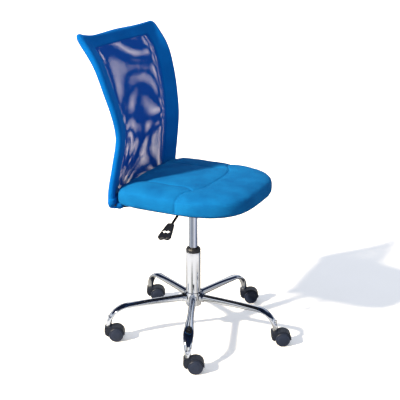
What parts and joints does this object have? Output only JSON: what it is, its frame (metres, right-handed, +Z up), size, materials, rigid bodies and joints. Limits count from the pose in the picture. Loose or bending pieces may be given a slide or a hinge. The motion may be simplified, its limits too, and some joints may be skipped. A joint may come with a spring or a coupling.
{
  "type": "swivel office chair",
  "caption": "Armless swivel desk chair with a curved mesh back, padded seat, height-adjustable gas lift and a chromed star base on twin-wheel casters.",
  "frame": {"origin": "middle of the bounding box, on the floor; the column axis stands at x = -0.0142, y = 0.0243", "axes": "+Z up, -Y is the way the sitter faces, +X is the sitter's left"},
  "size_m": [0.5804, 0.5971, 0.953],
  "materials": {
    "chrome": "mirror chrome plate",
    "zinc_steel": "zinc-plated steel",
    "black_steel": "black powder coat",
    "navy_grey_plastic": "fine matte nylon",
    "dark_plastic": "fine matte nylon",
    "plywood": "raw plywood",
    "blue_fabric": "fine woven upholstery",
    "blue_band": "padded knit border",
    "blue_netting": "open mesh"
  },
  "bodies": {
    "base": {"hub": "chrome", "arm_1": "chrome", "arm_2": "chrome", "arm_3": "chrome", "arm_4": "chrome", "arm_5": "chrome", "column_tube": "chrome", "guide_bush": "dark_plastic", "stem_1": "chrome", "stem_2": "chrome", "stem_3": "chrome", "stem_4": "chrome", "stem_5": "chrome"},
    "spindle": {"piston_rod": "zinc_steel", "thrust_bearing": "zinc_steel", "retaining_clip": "zinc_steel"},
    "seat": {"gas_cylinder": "chrome", "column_socket": "black_steel", "mounting_plate": "black_steel", "lever_bracket": "black_steel", "lever_pivot": "zinc_steel", "seat_board": "plywood", "seat_cushion": "blue_fabric", "back_frame": "black_steel", "back_band": "blue_band", "back_mesh_front": "blue_netting", "back_mesh_rear": "blue_netting", "plate_bolt_1": "zinc_steel", "plate_bolt_2": "zinc_steel", "plate_bolt_3": "zinc_steel", "plate_bolt_4": "zinc_steel", "leg_bolt_1": "zinc_steel", "leg_bolt_2": "zinc_steel", "leg_bolt_3": "zinc_steel", "leg_bolt_4": "zinc_steel"},
    "lever": {"lever_rod": "black_steel", "lever_grip": "navy_grey_plastic"},
    "valve_pin": {"release_pin": "zinc_steel"},
    "caster_1": {"hood_1": "dark_plastic", "axle_1": "zinc_steel"},
    "wheel_1_right": {"wheel_1_right": "navy_grey_plastic"},
    "wheel_1_left": {"wheel_1_left": "navy_grey_plastic"},
    "caster_2": {"hood_2": "dark_plastic", "axle_2": "zinc_steel"},
    "wheel_2_right": {"wheel_2_right": "navy_grey_plastic"},
    "wheel_2_left": {"wheel_2_left": "navy_grey_plastic"},
    "caster_3": {"hood_3": "dark_plastic", "axle_3": "zinc_steel"},
    "wheel_3_right": {"wheel_3_right": "navy_grey_plastic"},
    "wheel_3_left": {"wheel_3_left": "navy_grey_plastic"},
    "caster_4": {"hood_4": "dark_plastic", "axle_4": "zinc_steel"},
    "wheel_4_right": {"wheel_4_right": "navy_grey_plastic"},
    "wheel_4_left": {"wheel_4_left": "navy_grey_plastic"},
    "caster_5": {"hood_5": "dark_plastic", "axle_5": "zinc_steel"},
    "wheel_5_right": {"wheel_5_right": "navy_grey_plastic"},
    "wheel_5_left": {"wheel_5_left": "navy_grey_plastic"}
  },
  "joints": [
    {"name": "seat_swivel", "type": "hinge", "parent": "base", "child": "spindle", "pos_m": [-0.0142, 0.0243, 0.1], "axis": [0, 0, 1], "continuous": true},
    {"name": "height_slide", "type": "slide", "parent": "spindle", "child": "seat", "axis": [0, 0, 1], "range_m": [-0.095, 0.01]},
    {"name": "lever_lift", "type": "hinge", "parent": "seat", "child": "lever", "pos_m": [-0.0412, 0.0243, 0.4536], "axis": [0, 1, 0], "range_deg": [0, 5.5], "stiffness_Nm_per_rad": 1, "springref_deg": -5.73},
    {"name": "pin_slide", "type": "slide", "parent": "seat", "child": "valve_pin", "axis": [0, 0, -1], "range_m": [0, 0.0028]},
    {"name": "caster_1_swivel", "type": "hinge", "parent": "base", "child": "caster_1", "pos_m": [0.00977, -0.24965, 0.0505], "axis": [0, 0, 1], "continuous": true},
    {"name": "wheel_1_right_spin", "type": "hinge", "parent": "caster_1", "child": "wheel_1_right", "pos_m": [0.02003, -0.27024, 0.023], "axis": [0.8949, 0.4462, 0], "continuous": true},
    {"name": "wheel_1_left_spin", "type": "hinge", "parent": "caster_1", "child": "wheel_1_left", "pos_m": [0.02003, -0.27024, 0.023], "axis": [0.8949, 0.4462, 0], "continuous": true},
    {"name": "caster_2_swivel", "type": "hinge", "parent": "base", "child": "caster_2", "pos_m": [-0.26734, -0.08315, 0.0505], "axis": [0, 0, 1], "continuous": true},
    {"name": "wheel_2_right_spin", "type": "hinge", "parent": "caster_2", "child": "wheel_2_right", "pos_m": [-0.25708, -0.10373, 0.023], "axis": [0.8949, 0.4462, 0], "continuous": true},
    {"name": "wheel_2_left_spin", "type": "hinge", "parent": "caster_2", "child": "wheel_2_left", "pos_m": [-0.25708, -0.10373, 0.023], "axis": [0.8949, 0.4462, 0], "continuous": true},
    {"name": "caster_3_swivel", "type": "hinge", "parent": "base", "child": "caster_3", "pos_m": [-0.19462, 0.23184, 0.0505], "axis": [0, 0, 1], "continuous": true},
    {"name": "wheel_3_right_spin", "type": "hinge", "parent": "caster_3", "child": "wheel_3_right", "pos_m": [-0.18435, 0.21126, 0.023], "axis": [0.8949, 0.4462, 0], "continuous": true},
    {"name": "wheel_3_left_spin", "type": "hinge", "parent": "caster_3", "child": "wheel_3_left", "pos_m": [-0.18435, 0.21126, 0.023], "axis": [0.8949, 0.4462, 0], "continuous": true},
    {"name": "caster_4_swivel", "type": "hinge", "parent": "base", "child": "caster_4", "pos_m": [0.12743, 0.26002, 0.0505], "axis": [0, 0, 1], "continuous": true},
    {"name": "wheel_4_right_spin", "type": "hinge", "parent": "caster_4", "child": "wheel_4_right", "pos_m": [0.1377, 0.23944, 0.023], "axis": [0.8949, 0.4462, 0], "continuous": true},
    {"name": "wheel_4_left_spin", "type": "hinge", "parent": "caster_4", "child": "wheel_4_left", "pos_m": [0.1377, 0.23944, 0.023], "axis": [0.8949, 0.4462, 0], "continuous": true},
    {"name": "caster_5_swivel", "type": "hinge", "parent": "base", "child": "caster_5", "pos_m": [0.25375, -0.03756, 0.0505], "axis": [0, 0, 1], "continuous": true},
    {"name": "wheel_5_right_spin", "type": "hinge", "parent": "caster_5", "child": "wheel_5_right", "pos_m": [0.26401, -0.05815, 0.023], "axis": [0.8949, 0.4462, 0], "continuous": true},
    {"name": "wheel_5_left_spin", "type": "hinge", "parent": "caster_5", "child": "wheel_5_left", "pos_m": [0.26401, -0.05815, 0.023], "axis": [0.8949, 0.4462, 0], "continuous": true}
  ],
  "couplings": [
    {"joint": "pin_slide", "follows": "lever_lift", "m_per_rad": 0.027}
  ]
}
